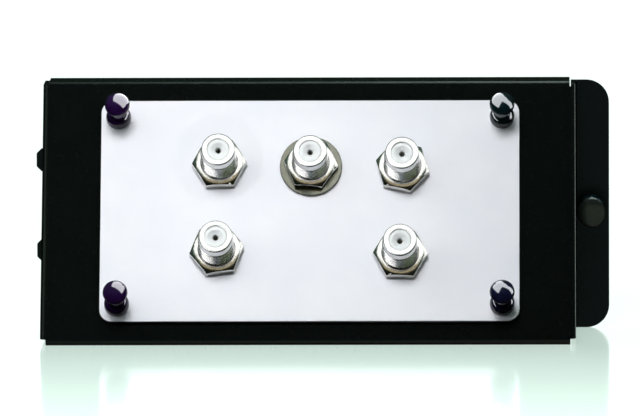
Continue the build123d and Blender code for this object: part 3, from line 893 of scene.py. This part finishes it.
def plunger_piece(name, kind, place, finish, body, node):
    """A plunger: its domed head, its neck and the pin that spreads the legs."""
    under = kind["head_mid"] - kind["head_under"]
    flare = kind["neck"] + NECK_FLARE
    stem = [
        (0, kind["pin_low"]), (kind["pin"] - PIN_TAPER, kind["pin_low"]),
        (kind["pin"], kind["pin_low"] + 2 * PIN_TAPER), (kind["pin"], kind["neck_low"] - PIN_TAPER),
        (kind["neck"], kind["neck_low"]), (kind["neck"], under - NECK_FLARE),
    ]
    back = arc((flare, kind["head_mid"]), (kind["head"] - flare, kind["head_under"]), 270, 360)
    dome = arc((0, kind["head_mid"]), (kind["head"], kind["head_dome"]), 0, 90)[1:-1]
    pole = [(0, kind["head_mid"] + kind["head_dome"])]
    form = bmesh.new()
    turn_outline(form, rounded(scaled(stem), STEM_CORNER) + scaled(back + dome + pole))
    piece = settled(weigh_normals(make_piece(name, form)))
    piece.data.transform(place)
    stand_for(piece, body, "black_nylon", finish, node)


def dress_nodes(finishes):
    """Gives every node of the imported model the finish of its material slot."""
    for part in frame["record"]["subparts"]:
        for holder in frame["nodes"][part["node"]].material_slots:
            holder.material = finishes[part["material_slot"]]


# The making

bpy.context.scene.view_settings.view_transform = "Standard"
add_camera()
add_studio()
add_floor()

port_nickel = nickel("port_nickel", (0.80, 0.80, 0.79), 0.20)
nut_nickel = nickel("nut_nickel", (0.76, 0.75, 0.72), 0.16)
washer_zinc = nickel("washer_zinc", (0.20, 0.20, 0.165), 0.16)
# The corner knobs are all one black nylon: the violet, teal and blue tints of these copies are painted reflection
# colour, one copy for each side of the front, and the ear's collar takes the teal copy
knob_painted_violet = nylon("knob_black_painted_violet_reflection", (0.012, 0.002, 0.030), (0.016, 0.003, 0.042), 0.07)
knob_painted_teal = nylon("knob_black_painted_teal_reflection", (0.002, 0.010, 0.013), (0.003, 0.014, 0.018), 0.07)
knob_painted_blue = nylon("knob_black_painted_blue_reflection", (0.005, 0.006, 0.026), (0.007, 0.008, 0.034), 0.07)
knob_ear = nylon("knob_satin_black", (0.010, 0.013, 0.010), (0.013, 0.016, 0.013), 0.18)
coat = powder_coat()
plate = plate_white()
white = insulator_white()
tin = tinned_steel()
dress_nodes({
    "black_powder_coat": coat,
    "white_plate": plate,
    "plated_port": port_nickel,
    "plated_nut": nut_nickel,
    "plated_washer": washer_zinc,
    "white_insulator": white,
    "contact_bronze": drawn_metal("contact_bronze", (0.60, 0.60, 0.50)),
    "black_nylon": knob_painted_violet,
    "tinned_steel": tin,
    "board_laminate": board_laminate(),
    "ferrite": fired("ferrite_grey", (0.03, 0.03, 0.032), (0.06, 0.06, 0.062), 0.6),
    "copper_wire": drawn_metal("enamelled_wire", (0.72, 0.32, 0.15)),
    "resistor_black": fired("resistor_glaze", (0.015, 0.015, 0.016), (0.03, 0.03, 0.032), 0.35),
    "capacitor_tan": fired("capacitor_body", (0.45, 0.34, 0.22), (0.58, 0.46, 0.31), 0.5),
})

edged_piece("folded_sheet", "bracket", SHEET_EDGE, "black_powder_coat", coat)
edged_piece("front_plate", "label_plate", PLATE_EDGE, "white_plate", plate)
edged_piece("drawn_case", "splitter_case", CASE_EDGE, "tinned_steel", tin)
edged_piece("back_cover", "case_cover", CASE_EDGE, "tinned_steel", tin)

thread_nodes = thread_tree()
for kind, number, across, up, seat in PORTS:
    place = PORT_MIDDLE @ Matrix.Translation((across * PORT_PITCH, up * PORT_PITCH, 0))
    port_piece(kind, number, place, seat, thread_nodes, port_nickel)
    insulator_piece(kind, number, place, white)
    edged_piece(f"{kind}_hexagon{number}", f"{kind}_nut{number}", NUT_EDGE, "plated_nut", nut_nickel)
edged_piece("flat_washer", "input_washer", WASHER_EDGE, "plated_washer", washer_zinc)

# Each corner knob takes the copy whose tint is the painted reflection colour of its side
corner_finishes = (knob_painted_violet, knob_painted_teal, knob_painted_violet, knob_painted_blue)
for (count, body, side, level), finish in zip(CORNERS, corner_finishes):
    across = MIDDLE_ACROSS + side * FASTENER_PITCH_ACROSS / 2
    up = MIDDLE_UP + level * FASTENER_PITCH_UP / 2
    place = front_place(across, up)
    grommet_piece(f"corner_collar_{count}", CORNER_FASTENER, place, finish, f"corner_grommet_{count}")
    plunger_piece(f"corner_knob_{count}", CORNER_FASTENER, place, finish, body, f"corner_plunger_{count}")
grommet_piece("ear_collar", EAR_FASTENER, EAR_PLACE, knob_painted_teal, "ear_grommet")
plunger_piece("ear_knob", EAR_FASTENER, EAR_PLACE, knob_ear, "plunger_ear", "ear_plunger")

for card in CARDS:
    add_card(*card)
add_sheet("sweep", SWEEP_TONE, scaled(SWEEP_CORNERS), FLAT_SHEET, ("floor",))
for name, colour, (left, right), (near, far), pieces in ROOF_CARDS:
    corners = [(x, y, ROOF_HEIGHT) for x, y in ((left, near), (right, near), (right, far), (left, far))]
    add_sheet(name, colour, scaled(corners), FLAT_SHEET, pieces)
for name, colour, corners, leaves, pieces in SCREENS:
    add_sheet(name, colour, scaled(corners), leaves, pieces)
